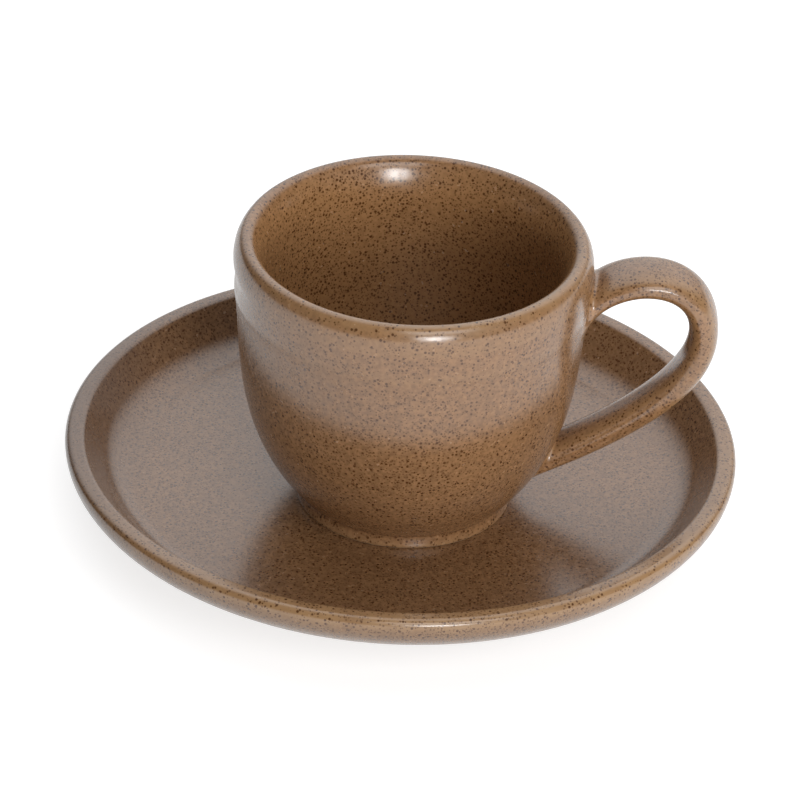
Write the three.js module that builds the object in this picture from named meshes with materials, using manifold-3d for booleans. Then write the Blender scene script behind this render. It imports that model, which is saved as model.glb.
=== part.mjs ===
// Small coffee cup on its saucer, in glazed stoneware. Millimetres, +Z up.
// The origin is on the saucer's axis at table level, and the cup's handle points along +X.
import * as THREE from 'three';
import { mergeVertices } from 'three/addons/utils/BufferGeometryUtils.js';
import Module from 'manifold-3d';

// Saucer sizes
const saucerDiameter = 125;
const wellDepth = 7.8; // crest of the rim down to the flat floor
const floorThickness = 4.7;
const saucerFootRecess = 3; // underside of the floor above the table
const rimOuterRound = 1.5;
const rimInnerRound = 1.9;
const wellWallSlope = 52; // degrees from level
const wellFillet = 7.5;
const flankLowerPull = 10; // how far the underside runs out before it turns up to the rim
const flankLowerRise = 1.7;
const flankUpperPull = 5.7;
const saucerFootDiameter = 84;
const saucerFootWidth = 5;
const saucerFootWall = 1.9; // straight outer side of the foot ring
const saucerFootEdge = 0.6;

// Cup sizes, heights counted from its foot
const cupHeight = 54.3;
const rimDiameter = 66; // widest point of the rolled lip
const lipThickness = 4.2;
const lipDrop = 4.3; // crest down to the widest point
const grooveDrop = 3.1; // widest point down to the throwing groove under the lip
const grooveDepth = 0.5;
const bellyDrop = 3.6; // groove down to where the wall starts to draw in
const bellyInset = 0.4;
const bellyTaper = 9; // degrees that the wall leans in just below the belly
const bellyPull = 11;
const heelFullness = 0.4; // how far the heel's curve is pushed out past the belly
const heelPull = 14.1;
const wallThickness = 4;
const baseThickness = 5.2;
const innerFloorDiameter = 20;
const cupFootDiameter = 39.8;
const cupFootHeight = 2.2;
const cupFootTaper = 0.4;
const cupFootWidth = 4;
const cupFootRecess = 1.5;
const cupFootEdge = 0.5;

// Where the cup stands on the saucer's floor, from the saucer's axis
const cupShiftRight = 0.8;
const cupShiftFront = 6.1;

// Handle: a strap in the plane through the cup's axis
const handleReach = 20.7; // widest point of the lip out to the outermost point of the centre line
const handleOuterDrop = 16.6; // lip crest down to that point
const handleOuterPullUp = 13.2;
const handleOuterPullDown = 9.4;
const upperRootDrop = 10.6; // lip crest down to where the centre line meets the wall
const upperRootAngle = 50; // degrees above level
const upperRootPull = 9.6;
const lowerRootHeight = 9.2;
const lowerRootAngle = 28;
const lowerRootPull = 21;
const strapThicknessUpper = 4.4;
const strapThicknessMiddle = 5.4;
const strapThicknessLower = 4.6;
const strapWidthUpper = 13.4;
const strapWidthMiddle = 10;
const strapWidthLower = 9.4;
const strapSquareness = 2.4; // 2 is an ellipse, more is squarer

// Clay joint between the strap's ends and the wall
const jointThickness = 1;
const jointSpread = 0.8; // how far the joint stands proud of the strap all round
const jointGap = 0.3;

// Glaze colours
const saucerGlaze = 0x7d6447;
const bodyGlaze = 0x8f7355;
const handleGlaze = 0x94774f;
const upperJointGlaze = 0x9a7d5c;
const lowerJointGlaze = 0x8a6c49;
const glazeRoughness = 0.3;

// Smoothness of the surfaces
const saucerSegments = 64;
const cupSegments = 56;
const curveSteps = 10;
const roundSteps = 4;
const strapSteps = 15;
const strapSides = 18;
const weldTolerance = 1e-4;

// Sizes that follow from the ones above
const saucerRadius = saucerDiameter / 2;
const saucerFootRadius = saucerFootDiameter / 2;
const wellFloor = saucerFootRecess + floorThickness;
const saucerHeight = wellFloor + wellDepth;
const rimRadius = rimDiameter / 2;
const widestHeight = cupHeight - lipDrop;
const grooveHeight = widestHeight - grooveDrop;
const bellyRadius = rimRadius - bellyInset;
const bellyHeight = grooveHeight - bellyDrop;
const cupFootRadius = cupFootDiameter / 2;

const wasm = await Module();
wasm.setup();

const radians = THREE.MathUtils.degToRad;

// Closed surface with shared corners, without the empty triangles at a lathe's poles
function weld(geometry) {
  geometry.deleteAttribute('normal');
  geometry.deleteAttribute('uv');
  const merged = mergeVertices(geometry, weldTolerance);
  const corners = merged.index.array;
  const kept = [];
  for (let i = 0; i < corners.length; i += 3) {
    const [a, b, c] = corners.slice(i, i + 3);
    if (a !== b && b !== c && c !== a) kept.push(a, b, c);
  }
  merged.setIndex(kept);
  return merged;
}

function toSolid(geometry) {
  const vertProperties = geometry.getAttribute('position').array;
  const triVerts = new Uint32Array(geometry.index.array);
  return new wasm.Manifold(new wasm.Mesh({ numProp: 3, vertProperties, triVerts }));
}

function toGeometry(solid) {
  const mesh = solid.getMesh();
  const geometry = new THREE.BufferGeometry();
  geometry.setAttribute('position', new THREE.Float32BufferAttribute(mesh.vertProperties, 3));
  geometry.setIndex(Array.from(mesh.triVerts));
  geometry.computeVertexNormals();
  return geometry;
}

// Body of revolution about +Z from an outline of (radius, height) that starts and ends on the axis
function turned(outline, segments) {
  const geometry = weld(new THREE.LatheGeometry(outline, segments));
  geometry.rotateX(Math.PI / 2);
  geometry.computeVertexNormals();
  return geometry;
}

// Sampled path whose long curves get more points than its small rounds
class Outline {
  constructor(radius, height) {
    this.points = [new THREE.Vector2(radius, height)];
  }

  get end() {
    return this.points[this.points.length - 1];
  }

  follow(curve, steps) {
    this.points.push(...curve.getPoints(steps).slice(1));
    return this;
  }

  line(radius, height) {
    this.points.push(new THREE.Vector2(radius, height));
    return this;
  }

  round(cornerRadius, cornerHeight, radius, height) {
    const corner = new THREE.Vector2(cornerRadius, cornerHeight);
    const last = new THREE.Vector2(radius, height);
    return this.follow(new THREE.QuadraticBezierCurve(this.end, corner, last), roundSteps);
  }

  curve(first, second, last, steps) {
    return this.follow(new THREE.CubicBezierCurve(this.end, first, second, last), steps);
  }

  arc(centreRadius, centreHeight, radius, from, to, steps) {
    const clockwise = to < from;
    const arc = new THREE.EllipseCurve(
      centreRadius, centreHeight, radius, radius, radians(from), radians(to), clockwise);
    arc.getPoints(steps).forEach((point) => this.points.push(point));
    return this;
  }
}

const at = (radius, height) => new THREE.Vector2(radius, height);

// Saucer: foot ring, flank that swells out to the rim, rolled crest and a flat well
function saucerOutline() {
  const footInner = saucerFootRadius - saucerFootWidth;
  const recessRound = saucerFootRecess / 2;
  const crestRadius = saucerRadius - rimOuterRound;
  const slope = radians(wellWallSlope);
  const turnDepth = 1 - Math.cos(slope); // depth that a round of radius 1 takes up as it turns by the slope
  const wallTop = at(
    crestRadius - rimInnerRound * Math.sin(slope),
    saucerHeight - rimInnerRound * turnDepth);
  const fillet = Math.min(wellFillet, (wallTop.y - wellFloor) / turnDepth);
  const wallRun = (wallTop.y - wellFloor - fillet * turnDepth) / Math.tan(slope);
  const floorRadius = wallTop.x - wallRun - fillet * Math.sin(slope);
  const widest = at(saucerRadius, saucerHeight - rimOuterRound);

  return new Outline(0, saucerFootRecess)
    .line(footInner - recessRound, saucerFootRecess)
    .round(footInner, saucerFootRecess, footInner, saucerFootRecess - recessRound)
    .line(footInner, saucerFootEdge)
    .round(footInner, 0, footInner + saucerFootEdge, 0)
    .line(saucerFootRadius - saucerFootEdge, 0)
    .round(saucerFootRadius, 0, saucerFootRadius, saucerFootEdge)
    .line(saucerFootRadius, saucerFootWall)
    .curve(
      at(saucerFootRadius + flankLowerPull, saucerFootWall + flankLowerRise),
      at(widest.x, widest.y - flankUpperPull), widest, curveSteps)
    .arc(crestRadius, widest.y, rimOuterRound, 0, 90, roundSteps)
    .arc(crestRadius, saucerHeight - rimInnerRound, rimInnerRound, 90, 90 + wellWallSlope, roundSteps)
    .arc(floorRadius, wellFloor + fillet, fillet, wellWallSlope - 90, -90, roundSteps)
    .line(0, wellFloor)
    .points;
}

// Outside of the cup from the edge of its foot up to the crest of the lip
function cupOutside() {
  const lean = radians(bellyTaper);
  const belly = at(bellyRadius, bellyHeight);
  const drawnIn = at(-Math.sin(lean) * bellyPull, -Math.cos(lean) * bellyPull).add(belly);
  const heel = at(cupFootRadius - cupFootTaper, cupFootHeight);
  const groove = at(rimRadius - grooveDepth, grooveHeight);
  const widest = at(rimRadius, widestHeight);
  const crest = at(rimRadius - lipThickness / 2, cupHeight);
  const shoulder = (groove.y - belly.y) / 3;
  const neck = (widest.y - groove.y) / 2;

  return new Outline(cupFootRadius - cupFootEdge, 0)
    .round(cupFootRadius, 0, cupFootRadius, cupFootEdge)
    .line(heel.x, heel.y)
    .curve(at(bellyRadius + heelFullness, heel.y + heelPull), drawnIn, belly, curveSteps)
    .curve(
      at(belly.x + Math.sin(lean) * shoulder, belly.y + shoulder),
      at(groove.x, groove.y - shoulder), groove, roundSteps)
    .curve(at(groove.x, groove.y + neck), at(widest.x, widest.y - neck), widest, roundSteps)
    .curve(
      at(widest.x, (widest.y + crest.y) / 2),
      at((widest.x + crest.x) / 2, crest.y), crest, roundSteps)
    .points;
}

// Inside of the cup from the crest of the lip down to the axis
function cupInside() {
  const crest = at(rimRadius - lipThickness / 2, cupHeight);
  const lipInner = at(rimRadius - lipThickness, cupHeight - lipThickness / 2);
  const wallInner = bellyRadius - wallThickness;
  const middle = (cupHeight + baseThickness) / 2;
  const floorEdge = at(innerFloorDiameter / 2, baseThickness);

  return new Outline(crest.x, crest.y)
    .curve(
      at((crest.x + lipInner.x) / 2, crest.y),
      at(lipInner.x, (crest.y + lipInner.y) / 2), lipInner, roundSteps)
    .curve(at(wallInner, middle), at(wallInner, baseThickness), floorEdge, curveSteps)
    .line(0, baseThickness)
    .points;
}

function cupOutline() {
  const ringInner = cupFootRadius - cupFootWidth;
  const underside = new Outline(0, cupFootRecess)
    .line(ringInner - cupFootRecess, cupFootRecess)
    .round(ringInner, cupFootRecess, ringInner, 0)
    .points;
  return [...underside, ...cupOutside(), ...cupInside().slice(1)];
}

// Cup filled solid, with its outside moved out by a distance
function cupEnvelope(distance) {
  const outside = cupOutside();
  const moved = outside.map((point, i) => {
    const before = outside[Math.max(i - 1, 0)];
    const after = outside[Math.min(i + 1, outside.length - 1)];
    const along = at(after.x - before.x, after.y - before.y).normalize();
    return at(point.x + along.y * distance, point.y - along.x * distance);
  });
  const closed = [at(0, moved[0].y), ...moved, at(0, moved[moved.length - 1].y)];
  return toSolid(turned(closed, cupSegments));
}

function wallRadius(height) {
  const outside = cupOutside();
  const next = outside.findIndex((point) => point.y > height);
  const [below, above] = [outside[next - 1], outside[next]];
  return THREE.MathUtils.mapLinear(height, below.y, above.y, below.x, above.x);
}

// Centre line of the strap in (distance from the cup's axis, height), run on into the wall at both ends
function strapCentreLine() {
  const upperHeight = cupHeight - upperRootDrop;
  const upper = at(wallRadius(upperHeight), upperHeight);
  const lower = at(wallRadius(lowerRootHeight), lowerRootHeight);
  const outer = at(rimRadius + handleReach, cupHeight - handleOuterDrop);
  const towards = (angle) => at(Math.cos(radians(angle)), Math.sin(radians(angle)));
  const upperWay = towards(upperRootAngle);
  const lowerWay = towards(lowerRootAngle);
  const path = new THREE.CurvePath();
  path.add(new THREE.LineCurve(upper.clone().addScaledVector(upperWay, -wallThickness), upper));
  path.add(new THREE.CubicBezierCurve(
    upper, upper.clone().addScaledVector(upperWay, upperRootPull),
    at(outer.x, outer.y + handleOuterPullUp), outer));
  path.add(new THREE.CubicBezierCurve(
    outer, at(outer.x, outer.y - handleOuterPullDown),
    lower.clone().addScaledVector(lowerWay, lowerRootPull), lower));
  path.add(new THREE.LineCurve(lower, lower.clone().addScaledVector(lowerWay, -wallThickness)));
  return path;
}

// Size at a share of the strap's length, on a smooth run through its sizes at the ends and halfway
function tapered(upper, middle, lower, share) {
  const ofUpper = (1 - share) * (1 - 2 * share);
  const ofMiddle = 4 * share * (1 - share);
  const ofLower = share * (2 * share - 1);
  return upper * ofUpper + middle * ofMiddle + lower * ofLower;
}

// One section of the strap, a squared ellipse square to the centre line
function strapSection(centre, along, thickness, width) {
  const ring = [];
  for (let i = 0; i < strapSides; i += 1) {
    const turn = (2 * Math.PI * i) / strapSides;
    const squared = (value) => Math.sign(value) * Math.abs(value) ** (2 / strapSquareness);
    const across = (squared(Math.cos(turn)) * thickness) / 2;
    const sideways = (squared(Math.sin(turn)) * width) / 2;
    ring.push(new THREE.Vector3(centre.x - along.y * across, sideways, centre.y + along.x * across));
  }
  return ring;
}

// Closed surface through equal rings of points, with a fan of triangles over each end
function loft(rings) {
  const points = rings.flat();
  const sides = rings[0].length;
  const faces = [];
  for (let ring = 0; ring + 1 < rings.length; ring += 1) {
    for (let side = 0; side < sides; side += 1) {
      const next = (side + 1) % sides;
      const [a, b] = [ring * sides + side, ring * sides + next];
      faces.push(a, b + sides, b, a, a + sides, b + sides);
    }
  }
  const last = points.length - sides;
  for (let side = 1; side + 1 < sides; side += 1) {
    faces.push(0, side, side + 1, last, last + side + 1, last + side);
  }
  const geometry = new THREE.BufferGeometry().setFromPoints(points);
  geometry.setIndex(faces);
  return weld(geometry);
}

// Strap between two shares of its length, grown all round by a margin
function strap(margin, from, to) {
  const path = strapCentreLine();
  const steps = Math.ceil(2 * strapSteps * (to - from));
  const rings = [];
  for (let i = 0; i <= steps; i += 1) {
    const share = THREE.MathUtils.lerp(from, to, i / steps);
    const thickness = tapered(strapThicknessUpper, strapThicknessMiddle, strapThicknessLower, share);
    const width = tapered(strapWidthUpper, strapWidthMiddle, strapWidthLower, share);
    const centre = path.getPointAt(share);
    const along = path.getTangentAt(share);
    rings.push(strapSection(centre, along, thickness + 2 * margin, width + 2 * margin));
  }
  return toSolid(loft(rings));
}

// Handle: the strap, cut back from the wall to leave room for the joints
function handleGeometry() {
  const room = cupEnvelope(jointThickness + 2 * jointGap);
  return toGeometry(strap(0, 0, 1).subtract(room));
}

// Joint: a bead of clay that follows the wall and stands proud of the strap's end all round
function jointGeometry(from, to) {
  const bead = strap(jointSpread, from, to)
    .intersect(cupEnvelope(jointGap + jointThickness))
    .subtract(cupEnvelope(jointGap));
  return toGeometry(bead);
}

function glazed(name, geometry, color) {
  const material = new THREE.MeshStandardMaterial({ color, roughness: glazeRoughness, metalness: 0 });
  const mesh = new THREE.Mesh(geometry, material);
  mesh.name = name;
  return mesh;
}

const cup = new THREE.Group();
cup.add(glazed('cup_body', turned(cupOutline(), cupSegments), bodyGlaze));
cup.add(glazed('handle', handleGeometry(), handleGlaze));
cup.add(glazed('upper_joint_clay', jointGeometry(0, 0.5), upperJointGlaze));
cup.add(glazed('lower_joint_clay', jointGeometry(0.5, 1), lowerJointGlaze));
cup.position.set(cupShiftRight, -cupShiftFront, wellFloor);

const cupAndSaucer = new THREE.Group();
cupAndSaucer.add(glazed('saucer', turned(saucerOutline(), saucerSegments), saucerGlaze));
cupAndSaucer.add(cup);

export default cupAndSaucer;
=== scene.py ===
# Small coffee cup on its saucer, in brown speckled stoneware glaze, on a pale studio floor.
# Sizes are millimetres in the part's own frame. Meshes are scaled to metres as they are made.
import math

import bpy
import numpy as np
from mathutils import Matrix, Vector


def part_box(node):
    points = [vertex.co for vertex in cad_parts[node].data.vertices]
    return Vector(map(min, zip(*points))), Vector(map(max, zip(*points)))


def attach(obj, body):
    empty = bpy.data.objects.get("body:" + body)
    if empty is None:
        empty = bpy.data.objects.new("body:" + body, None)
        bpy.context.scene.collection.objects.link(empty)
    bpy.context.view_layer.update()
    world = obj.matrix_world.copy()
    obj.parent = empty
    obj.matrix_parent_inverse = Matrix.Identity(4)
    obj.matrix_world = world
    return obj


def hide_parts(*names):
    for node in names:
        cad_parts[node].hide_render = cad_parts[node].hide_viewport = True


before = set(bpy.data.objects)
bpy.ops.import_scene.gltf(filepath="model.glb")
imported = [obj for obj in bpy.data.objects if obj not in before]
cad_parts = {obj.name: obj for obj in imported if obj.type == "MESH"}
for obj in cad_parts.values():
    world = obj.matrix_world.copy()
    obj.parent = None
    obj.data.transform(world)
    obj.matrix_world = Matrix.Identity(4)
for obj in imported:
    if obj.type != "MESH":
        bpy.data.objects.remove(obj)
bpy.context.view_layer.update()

MM = 0.001

# Sizes read from the frame
saucer_low, saucer_high = (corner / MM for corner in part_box("saucer"))
cup_low, cup_high = (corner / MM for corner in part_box("cup_body"))
SAUCER_RADIUS = (saucer_high.x - saucer_low.x) / 2
SAUCER_HEIGHT = saucer_high.z
CUP_CENTRE = ((cup_low.x + cup_high.x) / 2, (cup_low.y + cup_high.y) / 2)
RIM_RADIUS = (cup_high.x - cup_low.x) / 2
CUP_HEIGHT = cup_high.z - cup_low.z
WELL_FLOOR = cup_low.z

# Saucer sizes
FOOT_RECESS = 3.0
RIM_OUTER_ROUND = 1.5
RIM_INNER_ROUND = 1.3
RIM_FLAT = 1.2
WELL_WALL_SLOPE = 52.0
WELL_FILLET = 7.5
FLANK_LOWER_PULL = 10.0
FLANK_LOWER_RISE = 1.7
FLANK_UPPER_PULL = 5.7
SAUCER_FOOT_RADIUS = 42.0
SAUCER_FOOT_WIDTH = 5.0
SAUCER_FOOT_WALL = 1.9
SAUCER_FOOT_EDGE = 0.6

# Cup sizes, heights counted from its foot. GROOVE_FADE is in degrees from the cup's left.
LIP_DROP = 4.3
LIP_CREST_INSET = 2.2
LIP_SIDE_PULL = 2.1
LIP_TOP_PULL = 1.3
GROOVE_DROP = 3.1
GROOVE_DEPTH = 0.5
GROOVE_FADE = (0.0, 38.0)
BELLY_DROP = 3.6
BELLY_INSET = 0.4
BELLY_TAPER = 9.0
BELLY_PULL = 11.0
HEEL_FULLNESS = 0.4
HEEL_PULL = 14.1
WALL_THICKNESS = 4.0
BASE_THICKNESS = 5.2
LIP_BROW = (4.3, 1.9)
LIP_BROW_PULL = (0.42, 0.95)
LIP_INNER_PULL = 1.1
BROW_LEAN = (-1.5, -3.4)
THROAT = (5.7, 10.0)
THROAT_PULL = 2.0
BOWL_PULL = 18.0
BOWL_DRAW = 1.0
INNER_FLOOR_RADIUS = 10.0
CUP_FOOT_RADIUS = 19.9
CUP_FOOT_HEIGHT = 2.2
CUP_FOOT_TAPER = 0.4
CUP_FOOT_WIDTH = 4.0
CUP_FOOT_RECESS = 1.5
CUP_FOOT_EDGE = 0.5

# Handle sizes, with those of the strap at its upper end, middle and lower end
HANDLE_REACH = 20.7
HANDLE_OUTER_DROP = 16.6
HANDLE_OUTER_PULL_UP = 13.2
HANDLE_OUTER_PULL_DOWN = 9.4
UPPER_ROOT_DROP = 10.6
UPPER_ROOT_ANGLE = 50.0
UPPER_ROOT_PULL = 9.6
LOWER_ROOT_HEIGHT = 9.2
LOWER_ROOT_ANGLE = 28.0
LOWER_ROOT_PULL = 21.0
STRAP_THICKNESS = (4.4, 5.4, 4.6)
STRAP_WIDTH = (13.4, 10.0, 9.4)
STRAP_SQUARENESS = 2.4
ROOT_RUN = 9.0
ROOT_SINK = 1.8
ROOT_FILLET = (2.0, 3.4)
FILLET_SINK = 0.04

# Smoothness of the meshes
TURN_SEGMENTS = 288
STEP = 0.35
CORNER_STEP = STEP / 3
STRAP_STEP = STEP / 5
LINE_STEP = STEP * 2
FEWEST_CURVE_STEPS = 6
FEWEST_ARC_STEPS = 8
SAME_POINT = 1e-6
STRAP_SIDES = 96
STRAP_RINGS = 220
FILLET_STEPS = 14
TURN = np.linspace(0, 2 * math.pi, TURN_SEGMENTS, endpoint=False)
STRAP_TURN = np.linspace(0, 2 * math.pi, STRAP_SIDES, endpoint=False)


# Outlines: lists of (radius, height) points
def cubic(start, first, second, last, step=STEP):
    start, first, second, last = (np.array(p, float) for p in (start, first, second, last))
    reach = sum(np.linalg.norm(b - a) for a, b in ((start, first), (first, second), (second, last)))
    t = np.linspace(0, 1, max(FEWEST_CURVE_STEPS, int(reach / step)) + 1)[:, None]
    rest = 1 - t
    return rest**3 * start + 3 * rest**2 * t * first + 3 * rest * t**2 * second + t**3 * last


def corner(start, middle, last):
    start, middle, last = (np.array(p, float) for p in (start, middle, last))
    first = start + (middle - start) * 2 / 3
    second = last + (middle - last) * 2 / 3
    return cubic(start, first, second, last, CORNER_STEP)


def line(start, last):
    start, last = np.array(start, float), np.array(last, float)
    count = max(1, int(np.linalg.norm(last - start) / LINE_STEP))
    return start + (last - start) * np.linspace(0, 1, count + 1)[:, None]


def arc(centre, radius, start, stop):
    count = max(FEWEST_ARC_STEPS, int(radius * abs(math.radians(stop - start)) / STEP))
    turn = np.radians(np.linspace(start, stop, count + 1))
    return np.array(centre) + radius * np.stack([np.cos(turn), np.sin(turn)], axis=1)


def joined(*stretches):
    points = np.concatenate(stretches)
    apart = np.linalg.norm(np.diff(points, axis=0), axis=1) > SAME_POINT
    return points[np.concatenate([[True], apart])]


def run_lengths(points):
    """Length of a line of points from its start to each of them."""
    return np.concatenate([[0], np.cumsum(np.linalg.norm(np.diff(points, axis=0), axis=1))])


def saucer_foot():
    """Underside, and the foot ring up to the top of its outer wall."""
    inner = SAUCER_FOOT_RADIUS - SAUCER_FOOT_WIDTH
    recess_round = FOOT_RECESS / 2
    under_edge = (inner - recess_round, FOOT_RECESS)
    ring_top = (inner, FOOT_RECESS - recess_round)
    edge_in = (inner, SAUCER_FOOT_EDGE)
    ring_in = (inner + SAUCER_FOOT_EDGE, 0)
    ring_out = (SAUCER_FOOT_RADIUS - SAUCER_FOOT_EDGE, 0)
    edge_out = (SAUCER_FOOT_RADIUS, SAUCER_FOOT_EDGE)
    return joined(
        line((0, FOOT_RECESS), under_edge),
        corner(under_edge, (inner, FOOT_RECESS), ring_top),
        line(ring_top, edge_in),
        corner(edge_in, (inner, 0), ring_in),
        line(ring_in, ring_out),
        corner(ring_out, (SAUCER_FOOT_RADIUS, 0), edge_out),
        line(edge_out, (SAUCER_FOOT_RADIUS, SAUCER_FOOT_WALL)))


def saucer_well():
    """Inner edge of the rim, sloping wall, fillet and flat floor in to the axis."""
    crest = SAUCER_RADIUS - RIM_OUTER_ROUND - RIM_FLAT
    slope = math.radians(WELL_WALL_SLOPE)
    turn_depth = 1 - math.cos(slope)
    wall_top = (crest - RIM_INNER_ROUND * math.sin(slope), SAUCER_HEIGHT - RIM_INNER_ROUND * turn_depth)
    wall_run = (wall_top[1] - WELL_FLOOR - WELL_FILLET * turn_depth) / math.tan(slope)
    floor_radius = wall_top[0] - wall_run - WELL_FILLET * math.sin(slope)
    edge = arc((crest, SAUCER_HEIGHT - RIM_INNER_ROUND), RIM_INNER_ROUND, 90, 90 + WELL_WALL_SLOPE)
    fillet = arc((floor_radius, WELL_FLOOR + WELL_FILLET), WELL_FILLET, WELL_WALL_SLOPE - 90, -90)
    return joined(edge, line(edge[-1], fillet[0]), fillet, line(fillet[-1], (0, WELL_FLOOR)))


def saucer_outline():
    """Foot, flank that swells out to the rim, flat-topped rim and well."""
    foot, well = saucer_foot(), saucer_well()
    widest = np.array([SAUCER_RADIUS, SAUCER_HEIGHT - RIM_OUTER_ROUND])
    flank = cubic(
        foot[-1], foot[-1] + (FLANK_LOWER_PULL, FLANK_LOWER_RISE),
        widest - (0, FLANK_UPPER_PULL), widest)
    rim = arc((SAUCER_RADIUS - RIM_OUTER_ROUND, widest[1]), RIM_OUTER_ROUND, 0, 90)
    return joined(foot, flank, rim, line(rim[-1], well[0]), well)


WIDEST_HEIGHT = CUP_HEIGHT - LIP_DROP
GROOVE_HEIGHT = WIDEST_HEIGHT - GROOVE_DROP
BELLY_HEIGHT = GROOVE_HEIGHT - BELLY_DROP
BELLY_RADIUS = RIM_RADIUS - BELLY_INSET
LIP_CREST = (RIM_RADIUS - LIP_CREST_INSET, CUP_HEIGHT)
BELLY = np.array([BELLY_RADIUS, BELLY_HEIGHT])
BELLY_WAY = np.array([math.sin(math.radians(BELLY_TAPER)), math.cos(math.radians(BELLY_TAPER))])
WIDEST = np.array([RIM_RADIUS, WIDEST_HEIGHT])


def cup_outside():
    drawn_in = BELLY - BELLY_WAY * BELLY_PULL
    heel = (CUP_FOOT_RADIUS - CUP_FOOT_TAPER, CUP_FOOT_HEIGHT)
    groove = np.array([RIM_RADIUS - GROOVE_DEPTH, GROOVE_HEIGHT])
    shoulder = BELLY_DROP / 3
    neck = GROOVE_DROP / 2
    foot_edge = (CUP_FOOT_RADIUS, CUP_FOOT_EDGE)
    return joined(
        corner((CUP_FOOT_RADIUS - CUP_FOOT_EDGE, 0), (CUP_FOOT_RADIUS, 0), foot_edge),
        line(foot_edge, heel),
        cubic(heel, (BELLY_RADIUS + HEEL_FULLNESS, heel[1] + HEEL_PULL), drawn_in, BELLY),
        cubic(BELLY, BELLY + BELLY_WAY * shoulder, groove - (0, shoulder), groove),
        cubic(groove, groove + (0, neck), WIDEST - (0, neck), WIDEST),
        cubic(
            WIDEST, WIDEST + (0, LIP_SIDE_PULL),
            (LIP_CREST[0] + LIP_TOP_PULL, LIP_CREST[1]), LIP_CREST))


def without_groove(outline):
    """Radii of the cup's outside with the groove under the lip filled."""
    pull = (WIDEST_HEIGHT - BELLY_HEIGHT) / 3
    plain = cubic(BELLY, BELLY + BELLY_WAY * pull, WIDEST - (0, pull), WIDEST)
    filled = (outline[:, 1] > BELLY_HEIGHT) & (outline[:, 1] < WIDEST_HEIGHT)
    return np.where(filled, np.interp(outline[:, 1], plain[:, 1], plain[:, 0]), outline[:, 0])


def cup_inside():
    """Inner wall: a wide round inside the lip that leans in to the wall, then the bowl."""
    brow = (RIM_RADIUS - LIP_BROW[0], CUP_HEIGHT - LIP_BROW[1])
    throat = (RIM_RADIUS - THROAT[0], CUP_HEIGHT - THROAT[1])
    lean = (brow[0] + BROW_LEAN[0], brow[1] + BROW_LEAN[1])
    floor_edge = (INNER_FLOOR_RADIUS, BASE_THICKNESS)
    return joined(
        cubic(
            LIP_CREST, (LIP_CREST[0] - LIP_INNER_PULL, LIP_CREST[1]),
            (brow[0] + LIP_BROW_PULL[0], brow[1] + LIP_BROW_PULL[1]), brow),
        cubic(brow, lean, (throat[0], throat[1] + THROAT_PULL), throat),
        cubic(
            throat, (throat[0], throat[1] - BOWL_PULL),
            (throat[0] - BOWL_DRAW, BASE_THICKNESS), floor_edge),
        line(floor_edge, (0, BASE_THICKNESS)))


def cup_underside():
    ring_inner = CUP_FOOT_RADIUS - CUP_FOOT_WIDTH
    recess_edge = (ring_inner - CUP_FOOT_RECESS, CUP_FOOT_RECESS)
    return joined(
        line((0, CUP_FOOT_RECESS), recess_edge),
        corner(recess_edge, (ring_inner, CUP_FOOT_RECESS), (ring_inner, 0)),
        line((ring_inner, 0), (CUP_FOOT_RADIUS - CUP_FOOT_EDGE, 0)))


# Meshes
BEND_REACH = 1.0
EDGE_BEND = 0.45


def outward_bend(outline):
    """How sharply an outline turns outward at each point, in radians per millimetre, evened out nearby."""
    along = np.diff(outline, axis=0)
    length = np.linalg.norm(along, axis=1)
    heading = np.unwrap(np.arctan2(along[:, 1], along[:, 0]))
    bend = np.zeros(len(outline))
    bend[1:-1] = np.diff(heading) / ((length[1:] + length[:-1]) / 2)
    run = run_lengths(outline)
    apart = np.abs(run[:, None] - run[None, :])
    weight = np.exp(-((apart / BEND_REACH) ** 2)) * np.gradient(run)[None, :]
    return (weight @ bend) / weight.sum(axis=1)


def edge_mark(outline):
    return np.clip(outward_bend(outline) / EDGE_BEND, 0, 1)


def add_mesh(name, points, faces, marks, normals=None):
    """Smooth object from millimetre points, with named values and, where given, normals at its points."""
    mesh = bpy.data.meshes.new(name)
    mesh.from_pydata((np.asarray(points) * MM).tolist(), [], faces)
    mesh.polygons.foreach_set("use_smooth", [True] * len(faces))
    for mark, values in marks.items():
        layer = mesh.attributes.new(mark, "FLOAT", "POINT")
        layer.data.foreach_set("value", np.asarray(values, np.float32))
    mesh.update()
    if normals is not None:
        mesh.normals_split_custom_set_from_vertices(normals.tolist())
    piece = bpy.data.objects.new(name, mesh)
    bpy.context.scene.collection.objects.link(piece)
    return piece


def revolve(name, outline, centre, base, marks, filling=0.0):
    """Closed body of revolution from an outline that starts and ends on the axis, filled out where given."""
    rings = outline[1:-1]
    radius = rings[:, :1] + filling + 0 * TURN
    height = rings[:, 1:] + 0 * TURN
    body = np.stack([
        centre[0] + radius * np.cos(TURN),
        centre[1] + radius * np.sin(TURN),
        base + height], axis=2).reshape(-1, 3)
    ends = [(centre[0], centre[1], base + outline[i, 1]) for i in (0, -1)]
    points = np.concatenate([body, ends])
    first, last = len(body), len(body) + 1
    around = range(TURN_SEGMENTS)
    faces = []
    for ring in range(len(rings) - 1):
        low, high = ring * TURN_SEGMENTS, (ring + 1) * TURN_SEGMENTS
        for side in around:
            other = (side + 1) % TURN_SEGMENTS
            faces.append((low + side, low + other, high + other, high + side))
    top = (len(rings) - 1) * TURN_SEGMENTS
    for side in around:
        other = (side + 1) % TURN_SEGMENTS
        faces.append((first, other, side))
        faces.append((last, top + side, top + other))
    spread = {}
    for mark, values in marks.items():
        spread[mark] = np.concatenate([np.repeat(values[1:-1], TURN_SEGMENTS), values[[0, -1]]])
    return add_mesh(name, points, faces, spread)


def smooth_step(value, low, high):
    share = np.clip((value - low) / (high - low), 0, 1)
    return share * share * (3 - 2 * share)


# Turn of the cup's left side, in degrees
LEFT = 180.0
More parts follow.
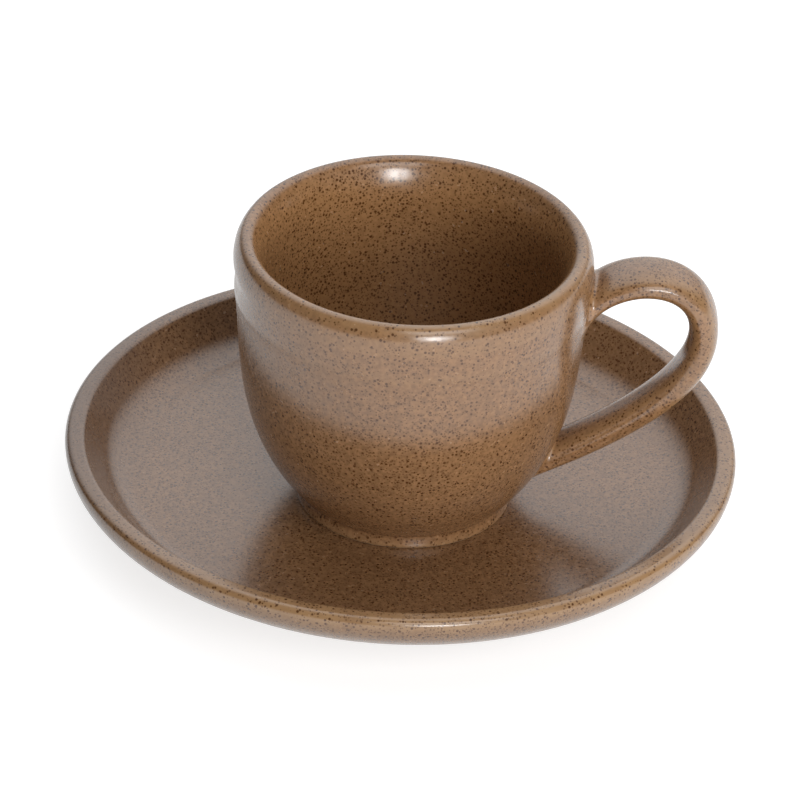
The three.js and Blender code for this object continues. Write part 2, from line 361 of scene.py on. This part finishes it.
# Points over which the inside mark comes in, counted from the lip's crest; it carries the denser specks and
# the painted light inside the cup
INSIDE_MARK_RUN = 12


def make_saucer():
    outline = saucer_outline()
    bare = (outline[:, 1] < SAUCER_FOOT_EDGE / 2).astype(float)
    marks = {"edge": edge_mark(outline), "bare": bare, "inside": np.zeros(len(outline))}
    return revolve("saucer_dish", outline, (0, 0), 0, marks)


def make_cup():
    """Cup, with the groove under its lip filled everywhere but near the left side."""
    inside = cup_inside()
    outline = joined(cup_underside(), cup_outside(), inside)
    order = np.arange(len(outline))
    crest = len(outline) - len(inside)
    bare = (outline[:, 1] < CUP_FOOT_EDGE / 2).astype(float)
    deep = smooth_step(order, crest, crest + INSIDE_MARK_RUN)
    groove = np.where(order < crest, without_groove(outline) - outline[:, 0], 0)
    from_left = np.abs(np.degrees(TURN) - LEFT)
    filling = groove[1:-1, None] * smooth_step(from_left, *GROOVE_FADE)
    marks = {"edge": edge_mark(outline), "bare": bare, "inside": deep}
    return revolve("cup_bowl", outline, CUP_CENTRE, WELL_FLOOR, marks, filling)


# Handle
OUTSIDE = cup_outside()
OUTSIDE[:, 0] = without_groove(OUTSIDE)


def wall_radius(height):
    return np.interp(height, OUTSIDE[:, 1], OUTSIDE[:, 0])


def wall_normal(height):
    """Outward normal of the cup's wall, as its radial and upward shares."""
    slope = np.interp(height, OUTSIDE[:, 1], np.gradient(OUTSIDE[:, 0], OUTSIDE[:, 1]))
    size = np.hypot(1, slope)
    return 1 / size, -slope / size


def strap_path():
    """Strap's centre line as (distance from the axis, height), run on into the wall, with its lengths."""
    upper_height = CUP_HEIGHT - UPPER_ROOT_DROP
    upper = np.array([wall_radius(upper_height), upper_height])
    lower = np.array([wall_radius(LOWER_ROOT_HEIGHT), LOWER_ROOT_HEIGHT])
    outer = np.array([RIM_RADIUS + HANDLE_REACH, CUP_HEIGHT - HANDLE_OUTER_DROP])
    upper_way, lower_way = (
        np.array([math.cos(math.radians(a)), math.sin(math.radians(a))])
        for a in (UPPER_ROOT_ANGLE, LOWER_ROOT_ANGLE))
    upper_bend = outer + (0, HANDLE_OUTER_PULL_UP)
    lower_bend = outer - (0, HANDLE_OUTER_PULL_DOWN)
    points = joined(
        line(upper - upper_way * ROOT_RUN, upper),
        cubic(upper, upper + upper_way * UPPER_ROOT_PULL, upper_bend, outer, STRAP_STEP),
        cubic(outer, lower_bend, lower + lower_way * LOWER_ROOT_PULL, lower, STRAP_STEP),
        line(lower, lower - lower_way * ROOT_RUN))
    return points, run_lengths(points)


def tapered(sizes, share):
    """Size at a share of the way along, on a curve through the upper, middle and lower size."""
    upper, middle, lower = sizes
    return (
        upper * (1 - share) * (1 - 2 * share)
        + middle * 4 * share * (1 - share)
        + lower * share * (2 * share - 1))


def strap_section(share):
    """Points of the strap's section across and sideways, and their outward directions, ring by ring."""
    power = 2 / STRAP_SQUARENESS
    across = np.sign(np.cos(STRAP_TURN)) * np.abs(np.cos(STRAP_TURN)) ** power
    side = np.sign(np.sin(STRAP_TURN)) * np.abs(np.sin(STRAP_TURN)) ** power
    half_thick = tapered(STRAP_THICKNESS, share)[:, None] / 2
    half_wide = tapered(STRAP_WIDTH, share)[:, None] / 2
    out_across = np.sign(across) * np.abs(across) ** (STRAP_SQUARENESS - 1) / half_thick
    out_side = np.sign(side) * np.abs(side) ** (STRAP_SQUARENESS - 1) / half_wide
    size = np.hypot(out_across, out_side)
    return across * half_thick, side * half_wide, out_across / size, out_side / size


def strap_grid():
    """Points of the bare strap around the cup's axis, ring by ring, and their outward directions."""
    path, lengths = strap_path()
    length, spare = lengths[-1], ROOT_RUN - WALL_THICKNESS
    shares = lengths / length
    share = (1 - np.cos(np.linspace(0, math.pi, STRAP_RINGS))) / 2
    centre_x, centre_z = (np.interp(share, shares, path[:, i])[:, None] for i in (0, 1))
    along = np.stack([np.interp(share, shares, np.gradient(path[:, i], shares)) for i in (0, 1)], axis=1)
    along /= np.linalg.norm(along, axis=1, keepdims=True)
    across, side, out_across, out_side = strap_section((share * length - spare) / (length - 2 * spare))
    way_x, way_z = -along[:, 1:], along[:, :1]
    points = np.stack([centre_x + way_x * across, side, centre_z + way_z * across], axis=2)
    return points, np.stack([way_x * out_across, out_side, way_z * out_across], axis=2)


def at_index(grid, index):
    """Values of a grid at a fractional ring number of its own for each side."""
    low = np.floor(index).astype(int)
    part = (index - low)[:, None]
    sides = np.arange(len(index))
    return grid[low, sides] * (1 - part) + grid[low + 1, sides] * part


def index_after(grid, index, reach):
    """Ring numbers a reach further along each lengthwise line of a grid."""
    steps = np.linalg.norm(np.diff(grid, axis=0), axis=2)
    length = np.concatenate([np.zeros((1, grid.shape[1])), np.cumsum(steps, axis=0)])
    target = at_index(length[:, :, None], index)[:, 0] + reach
    rings = np.arange(len(grid))
    return np.array([np.interp(target[side], length[:, side], rings) for side in range(grid.shape[1])])


def wall_meeting(grid):
    """Where a strap's lengthwise lines leave the wall: ring numbers, points and the wall's normals there."""
    gap = np.hypot(grid[:, :, 0], grid[:, :, 1]) - wall_radius(grid[:, :, 2])
    sides = np.arange(grid.shape[1])
    first = np.argmax(gap > 0, axis=0)
    index = first - gap[first, sides] / (gap[first, sides] - gap[first - 1, sides])
    meet = at_index(grid, index)
    radial, upward = wall_normal(meet[:, 2])
    flat = meet[:, :2] * (radial / np.hypot(meet[:, 0], meet[:, 1]))[:, None]
    return index, meet, np.concatenate([flat, upward[:, None]], axis=1)


def fillet_foot(meet, normal, reach):
    """Points just under the wall's surface, a reach away from where the strap meets it."""
    away = np.cross(np.roll(meet, -1, axis=0) - np.roll(meet, 1, axis=0), normal)
    away /= np.linalg.norm(away, axis=1, keepdims=True)
    away *= np.sign((away * (meet - meet.mean(axis=0))).sum())
    foot = meet + away * reach[:, None]
    foot[:, :2] *= ((wall_radius(foot[:, 2]) - FILLET_SINK) / np.hypot(foot[:, 0], foot[:, 1]))[:, None]
    return foot


def root_fillet(grid, out):
    """Rounded clay from the start of the strap to the wall, as rings, and the ring numbers of its start."""
    index, meet, normal = wall_meeting(grid)
    facing = (at_index(out, index) * normal).sum(axis=1)
    narrow, wide = ROOT_FILLET
    reach = narrow + (wide - narrow) * smooth_step(facing, -1, 1)
    start = index_after(grid, index, reach)
    foot = fillet_foot(meet, normal, reach)
    t = np.linspace(0, 1, FILLET_STEPS)[:, None, None]
    return (1 - t) ** 2 * at_index(grid, start) + 2 * t * (1 - t) * meet + t**2 * foot, start


def sunk(rings):
    """Rings of points moved into the wall, out of sight."""
    inner = rings.copy()
    inner[..., :2] *= 1 - ROOT_SINK / np.hypot(rings[..., 0], rings[..., 1])[..., None]
    return inner


def ring_normals(rings):
    """Outward normals of a run of rings, so that pieces cut from it meet without a visible seam."""
    around = np.roll(rings, -1, axis=1) - np.roll(rings, 1, axis=1)
    along = np.gradient(rings, axis=0)
    normals = np.cross(along, around)
    return normals / np.linalg.norm(normals, axis=2, keepdims=True)


def loft(name, rings, normals, edge):
    """Closed surface through equal rings of points."""
    count, sides = rings.shape[:2]
    points = np.concatenate([rings.reshape(-1, 3), rings[[0, -1]].mean(axis=1)])
    first, last = count * sides, count * sides + 1
    faces = []
    for side in range(sides):
        other = (side + 1) % sides
        faces.append((first, side, other))
        faces.append((last, (count - 1) * sides + other, (count - 1) * sides + side))
        for low in range(0, (count - 1) * sides, sides):
            high = low + sides
            faces.append((low + other, low + side, high + side, high + other))
    none = np.zeros(len(points))
    marks = {"edge": np.concatenate([edge.reshape(-1), [0, 0]]), "bare": none, "inside": none}
    ends = rings[[0, -1]].mean(axis=1) - rings[[1, -2]].mean(axis=1)
    ends /= np.linalg.norm(ends, axis=1, keepdims=True)
    return add_mesh(name, points, faces, marks, np.concatenate([normals.reshape(-1, 3), ends]))


def make_handle():
    """Strap and the two clay joints at its ends, cut from one smooth run of rings."""
    grid, out = strap_grid()
    upper, begin = root_fillet(grid, out)
    lower, end = root_fillet(grid[::-1], out[::-1])
    end = len(grid) - 1 - end
    shares = np.linspace(0, 1, STRAP_RINGS)
    strap = np.stack([at_index(grid, begin + (end - begin) * share) for share in shares])
    rings = np.concatenate([upper[:0:-1], strap, lower[1:]])
    normals = ring_normals(rings)
    rings = np.concatenate([sunk(rings[:1]), rings, sunk(rings[-1:])]) + (*CUP_CENTRE, WELL_FLOOR)
    normals = np.concatenate([normals[:1], normals, normals[-1:]])
    edge = np.tile(np.sin(2 * STRAP_TURN) ** 2, (len(rings), 1))
    cuts = (0, FILLET_STEPS, FILLET_STEPS + STRAP_RINGS - 1, len(rings) - 1)
    names = ("upper_joint", "handle_strap", "lower_joint")
    runs = [slice(first, last + 1) for first, last in zip(cuts, cuts[1:])]
    return [loft(name, rings[run], normals[run], edge[run]) for name, run in zip(names, runs)]


# Materials
class Nodes:
    """Short calls that add nodes to a node tree."""

    def __init__(self, tree):
        self.tree = tree
        self.tree.nodes.clear()

    def add(self, kind, inputs=None, **settings):
        node = self.tree.nodes.new(kind)
        for name, value in settings.items():
            setattr(node, name, value)
        for name, value in (inputs or {}).items():
            if isinstance(value, bpy.types.NodeSocket):
                self.tree.links.new(value, node.inputs[name])
            else:
                node.inputs[name].default_value = value
        return node

    def math(self, operation, first, second):
        return self.add("ShaderNodeMath", {0: first, 1: second}, operation=operation).outputs[0]

    def remap(self, value, low, high, to_low=0.0, to_high=1.0):
        inputs = {"Value": value, "From Min": low, "From Max": high, "To Min": to_low, "To Max": to_high}
        return self.add("ShaderNodeMapRange", inputs, interpolation_type="SMOOTHSTEP").outputs["Result"]

    def blend(self, share, first, second):
        return self.add("ShaderNodeMix", {0: share, 6: first, 7: second}, data_type="RGBA").outputs[2]

    def mark(self, name):
        return self.add("ShaderNodeAttribute", attribute_name=name).outputs["Fac"]

    def along(self, place, way):
        """How far a place lies along a direction."""
        return self.add("ShaderNodeVectorMath", {0: place, 1: way}, operation="DOT_PRODUCT").outputs["Value"]

    def beyond(self, place, way, reach, share=1.0):
        """Share that grows along a direction, from none at one distance to all of it at another."""
        start, full = reach
        return self.remap(self.along(place, way), start * MM, full * MM, 0.0, share)

    def noise(self, place, size, detail=3.0):
        inputs = {"Vector": place, "Scale": 1 / (size * MM), "Detail": detail}
        return self.add("ShaderNodeTexNoise", inputs).outputs["Fac"]

    def specks(self, place, spacing, smallest, largest, share):
        """Round specks on a share of the cells of an uneven grid, as wide as a share of its spacing."""
        cells = self.add("ShaderNodeTexVoronoi", {"Vector": place, "Scale": 1 / (spacing * MM)})
        chance = self.add("ShaderNodeSeparateColor", {"Color": cells.outputs["Color"]})
        radius = self.remap(chance.outputs[0], 0.0, 1.0, smallest, largest)
        inside = self.math("SUBTRACT", radius, cells.outputs["Distance"])
        shown = self.math("LESS_THAN", chance.outputs[1], share)
        return self.math("MULTIPLY", self.remap(inside, *SPECK_EDGE), shown)


# Colours of the glaze and the bare clay
# Pale colour for the edges: partly thin glaze, partly painted light
PALE_THIN_AND_LIT = (0.34, 0.20, 0.095, 1)
SPECK = (0.08, 0.028, 0.006, 1)
# Painted light: lighter, redder tone inside the cup, standing in for light and bounce reaching the inside
INSIDE_PAINTED_LIGHT = (0.40, 0.205, 0.075, 1)
CLAY = (0.36, 0.25, 0.16, 1)
# Painted shadow: darker colour for the saucer's left, where the cup's shadow falls
PAINTED_SHADOW = (0.075, 0.036, 0.018, 1)
SAUCER_LIGHT, SAUCER_DARK = (0.285, 0.151, 0.069, 1), (0.165, 0.082, 0.036, 1)
CUP_LIGHT, CUP_DARK = (0.33, 0.173, 0.078, 1), (0.195, 0.098, 0.043, 1)
HANDLE_LIGHT, HANDLE_DARK = (0.355, 0.187, 0.084, 1), (0.205, 0.104, 0.046, 1)

# Directions of the painted light on edges and of the painted shadow and extra specks towards the saucer's
# left, and the distances from the middle where that starts and is complete
# Painted light: edges facing this way, towards the lamps at the front and right, are painted paler
LIT_EDGE_SIDE = (0.35, -0.94, 0.0)
LIT_EDGE_REACH = (-20.0, 60.0)
# Painted shadow: the saucer's left and back-left, where the cup's shadow falls, get darker glaze and more
# specks
SHADOW_SIDE = (-1.0, 0.0, 0.0)
SHADOW_REACH = (44.0, 57.0)
SHADOW_SPECK_SIDE = (-0.75, 0.66, 0.0)
SHADOW_SPECK_REACH = (25.0, 55.0)

# Unevenness of the tone, of the pale edges (thin glaze and painted light) and of the crowding of specks
CLOUD_SIZE = 14.0
GRAIN_SIZE = 0.8
GRAIN_DETAIL = 1.0
CLOUD_SHARE = 0.2
GRAIN_SHARE = 0.8
TONE_RANGE = (0.2, 0.8)
THIN_AND_LIT_PATCH = 5.0
THIN_AND_LIT_PATCH_RANGE = (0.2, 0.7)
THIN_AND_LIT_LEAST = 0.5
CROWD_PATCH = 22.0
CROWD_DETAIL = 2.0
CROWD_RANGE = (0.3, 0.7)
CROWD_SWING = 0.2
INSIDE_PAINTED_LIGHT_SHARE = 0.3
INSIDE_CROWD = 0.3
THIN_AND_LIT_CLEARING = 0.5

# Specks: spacing, and smallest and largest radius as shares of it
COARSE_SPECKS = (0.74, 0.2, 0.38)
FINE_SPECKS = (0.5, 0.25, 0.42)
FINE_STRENGTH = 0.7
SPECK_EDGE = (-0.06, 0.1)

# Surface of the glaze
RIPPLE_SIZE = 1.6
RIPPLE_DETAIL = 2.0
RIPPLE_RANGE = (0.2, 0.8)
RIPPLE_STRENGTH = 0.1
RIPPLE_DEPTH = 0.05
GLAZE_ROUGHNESS = (0.2, 0.28)
CLAY_ROUGHENING = 0.5
GLAZE_IOR = 1.8


def cloudy_tone(nodes, place, light, dark):
    """Cloudy, grainy mix of the light and the dark colour."""
    cloud = nodes.math("MULTIPLY", nodes.noise(place, CLOUD_SIZE), CLOUD_SHARE)
    grain = nodes.math("MULTIPLY", nodes.noise(place, GRAIN_SIZE, GRAIN_DETAIL), GRAIN_SHARE)
    return nodes.blend(nodes.remap(nodes.math("ADD", cloud, grain), *TONE_RANGE), dark, light)


def thin_and_lit_share(nodes, place):
    """Paler edges, uneven along them: partly thin glaze, partly painted light that grows towards the front,
    where the lamps are.
    """
    edge = nodes.math("MULTIPLY", nodes.mark("edge"), nodes.beyond(place, LIT_EDGE_SIDE, LIT_EDGE_REACH))
    uneven = nodes.remap(nodes.noise(place, THIN_AND_LIT_PATCH), *THIN_AND_LIT_PATCH_RANGE, THIN_AND_LIT_LEAST, 1.0)
    return nodes.math("MULTIPLY", edge, uneven)


def speck_cover(nodes, place, crowd, inside, thin_and_lit, shadow_share):
    """Coarse and fine specks, more inside the cup and, as painted shade, towards the saucer's back-left
    where the cup's shadow falls, fewer on the pale edges.
    """
    patch = nodes.noise(place, CROWD_PATCH, CROWD_DETAIL)
    share = nodes.remap(patch, *CROWD_RANGE, crowd - CROWD_SWING, crowd + CROWD_SWING)
    share = nodes.math("ADD", share, nodes.math("MULTIPLY", inside, INSIDE_CROWD))
    share = nodes.math("SUBTRACT", share, nodes.math("MULTIPLY", thin_and_lit, THIN_AND_LIT_CLEARING))
    # Painted shadow: more specks towards the saucer's back-left
    share = nodes.math("ADD", share, nodes.beyond(place, SHADOW_SPECK_SIDE, SHADOW_SPECK_REACH, shadow_share))
    coarse = nodes.specks(place, *COARSE_SPECKS, share)
    fine = nodes.specks(place, *FINE_SPECKS, share)
    return nodes.math("MAXIMUM", coarse, nodes.math("MULTIPLY", fine, FINE_STRENGTH))


def satin_coat(nodes, place, colour, bare):
    """Finely rippled glossy surface, rougher where the clay is bare."""
    ripple = nodes.noise(place, RIPPLE_SIZE, RIPPLE_DETAIL)
    rough = nodes.remap(ripple, *RIPPLE_RANGE, *GLAZE_ROUGHNESS)
    rough = nodes.math("ADD", rough, nodes.math("MULTIPLY", bare, CLAY_ROUGHENING))
    bump = nodes.add("ShaderNodeBump", {
        "Strength": RIPPLE_STRENGTH, "Distance": RIPPLE_DEPTH * MM, "Height": ripple})
    shader = nodes.add("ShaderNodeBsdfPrincipled", {
        "Base Color": colour, "Roughness": rough, "IOR": GLAZE_IOR, "Normal": bump.outputs["Normal"]})
    nodes.add("ShaderNodeOutputMaterial", {"Surface": shader.outputs["BSDF"]})


def glaze(name, light, dark, crowd, shadow_share=0.0):
    """Brown glaze: cloudy tone, dark specks, paler edges that are partly thin glaze and partly painted light
    from the front, a painted shadow towards the saucer's left, a lighter painted-light tone inside the cup,
    bare clay under the feet.
    """
    material = bpy.data.materials.new(name)
    material.use_nodes = True
    nodes = Nodes(material.node_tree)
    place = nodes.add("ShaderNodeTexCoord").outputs["Object"]
    inside, bare = nodes.mark("inside"), nodes.mark("bare")
    thin_and_lit = thin_and_lit_share(nodes, place)
    colour = cloudy_tone(nodes, place, light, dark)
    # Painted shadow: darker glaze towards the saucer's left
    colour = nodes.blend(nodes.beyond(place, SHADOW_SIDE, SHADOW_REACH, shadow_share), colour, PAINTED_SHADOW)
    # Painted light and thin glaze: paler colour on the edges, strongest at the front
    colour = nodes.blend(thin_and_lit, colour, PALE_THIN_AND_LIT)
    # Painted light: lighter, redder colour inside the cup
    colour = nodes.blend(nodes.math("MULTIPLY", inside, INSIDE_PAINTED_LIGHT_SHARE), colour, INSIDE_PAINTED_LIGHT)
    colour = nodes.blend(speck_cover(nodes, place, crowd, inside, thin_and_lit, shadow_share), colour, SPECK)
    colour = nodes.blend(bare, colour, CLAY)
    satin_coat(nodes, place, colour, bare)
    return material


def dress(piece, body, slot, material, *replaced):
    piece.data.materials.append(material)
    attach(piece, body)
    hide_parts(*replaced)


# Studio: the floor and the lamps in metres, the camera in millimetres
FLOOR_SIZE = 6.0
FLOOR_WHITE = (0.55, 0.55, 0.55, 1)
FLOOR_LIFT = 0.72


def make_floor():
    """Pale paper, with part of its white shown to camera, mirror and see-through rays only."""
    half = FLOOR_SIZE / 2
    mesh = bpy.data.meshes.new("floor")
    corners = [(-half, -half, 0), (half, -half, 0), (half, half, 0), (-half, half, 0)]
    mesh.from_pydata(corners, [], [(0, 1, 2, 3)])
    floor = bpy.data.objects.new("floor", mesh)
    bpy.context.scene.collection.objects.link(floor)
    material = bpy.data.materials.new("pale_floor")
    material.use_nodes = True
    nodes = Nodes(material.node_tree)
    path = nodes.add("ShaderNodeLightPath").outputs
    seen = nodes.math("MAXIMUM", path["Is Camera Ray"], path["Is Glossy Ray"])
    seen = nodes.math("MAXIMUM", seen, path["Is Transmission Ray"])
    lift = nodes.add("ShaderNodeEmission", {"Strength": nodes.math("MULTIPLY", seen, FLOOR_LIFT)})
    paper = nodes.add("ShaderNodeBsdfDiffuse", {"Color": FLOOR_WHITE})
    both = nodes.add("ShaderNodeAddShader", {0: paper.outputs[0], 1: lift.outputs[0]})
    nodes.add("ShaderNodeOutputMaterial", {"Surface": both.outputs[0]})
    mesh.materials.append(material)


WALL_LIGHT = (1.3, 1.3, 1.31, 1)
DIM_SIDE = (0.04, 0.04, 0.04, 1)
WALL_WAY = (0.08, 0.68, 0.73)
WALL_EDGE = (0.45, 0.95)
WHITE = (1, 1, 1, 1)


def make_world():
    """Bright wall and ceiling behind the object, dim elsewhere, and plain white to the camera."""
    world = bpy.data.worlds.new("studio")
    bpy.context.scene.world = world
    world.use_nodes = True
    nodes = Nodes(world.node_tree)
    way = nodes.add("ShaderNodeTexCoord").outputs["Generated"]
    facing = nodes.along(way, WALL_WAY)
    colour = nodes.blend(nodes.remap(facing, *WALL_EDGE), DIM_SIDE, WALL_LIGHT)
    seen = nodes.add("ShaderNodeLightPath").outputs["Is Camera Ray"]
    colour = nodes.blend(seen, colour, WHITE)
    shade = nodes.add("ShaderNodeBackground", {"Color": colour, "Strength": 1.0})
    nodes.add("ShaderNodeOutputWorld", {"Surface": shade.outputs[0]})


def from_angles(azimuth, elevation, distance):
    """Point seen from the object at an angle to the right of the front, and a height above level."""
    turn, rise = math.radians(azimuth), math.radians(elevation)
    flat = math.cos(rise) * distance
    return Vector((math.sin(turn) * flat, -math.cos(turn) * flat, math.sin(rise) * distance))


def add_softbox(name, azimuth, elevation, distance, width, height, power, mirrored=True):
    """Area lamp turned to the object, hidden from the camera and, where asked, from mirror rays."""
    lamp = bpy.data.lights.new(name, "AREA")
    lamp.shape = "RECTANGLE"
    lamp.size = width
    lamp.size_y = height
    lamp.energy = power
    holder = bpy.data.objects.new(name, lamp)
    holder.location = from_angles(azimuth, elevation, distance)
    holder.rotation_euler = holder.location.to_track_quat("Z", "Y").to_euler()
    holder.visible_camera = False
    holder.visible_glossy = mirrored
    bpy.context.scene.collection.objects.link(holder)


CAMERA_PLACE = (0.0, -1181.6, 747.6)
CAMERA_AIM = (-0.52, 0.0, 23.81)
CAMERA_ROLL = 2.706
CAMERA_LENS = 335.8
CAMERA_REACH = 100.0


def make_camera():
    """Camera at the photograph's place, fitted to the outlines of rim, lip and handle."""
    camera = bpy.data.cameras.new("camera")
    camera.lens = CAMERA_LENS
    camera.clip_end = CAMERA_REACH
    holder = bpy.data.objects.new("camera", camera)
    place, aim = Vector(CAMERA_PLACE) * MM, Vector(CAMERA_AIM) * MM
    ahead = (aim - place).to_track_quat("-Z", "Y")
    roll = Matrix.Rotation(math.radians(CAMERA_ROLL), 4, "Z")
    holder.matrix_world = Matrix.Translation(place) @ ahead.to_matrix().to_4x4() @ roll
    bpy.context.scene.collection.objects.link(holder)
    bpy.context.scene.camera = holder


# The scene
bpy.context.scene.view_settings.view_transform = "Standard"
make_camera()
make_world()
make_floor()
add_softbox(
    "key_softbox", azimuth=15.0, elevation=15.0, distance=2.0,
    width=0.5, height=0.5, power=11.0)
add_softbox(
    "front_window", azimuth=36.0, elevation=22.0, distance=2.05,
    width=2.4, height=1.5, power=28.0, mirrored=False)
add_softbox(
    "high_fill", azimuth=20.0, elevation=45.0, distance=2.0,
    width=1.2, height=0.8, power=7.0)

saucer_glaze = glaze("saucer_glaze", SAUCER_LIGHT, SAUCER_DARK, crowd=0.85, shadow_share=0.55)
cup_glaze = glaze("cup_glaze", CUP_LIGHT, CUP_DARK, crowd=0.7)
handle_glaze = glaze("handle_glaze", HANDLE_LIGHT, HANDLE_DARK, crowd=0.85)
upper_joint, strap, lower_joint = make_handle()
dress(make_saucer(), "saucer", "saucer_glaze", saucer_glaze, "saucer")
dress(make_cup(), "cup", "cup_glaze", cup_glaze, "cup_body")
dress(strap, "cup", "handle_glaze", handle_glaze, "handle")
dress(upper_joint, "cup", "handle_glaze", handle_glaze, "upper_joint_clay")
dress(lower_joint, "cup", "handle_glaze", handle_glaze, "lower_joint_clay")
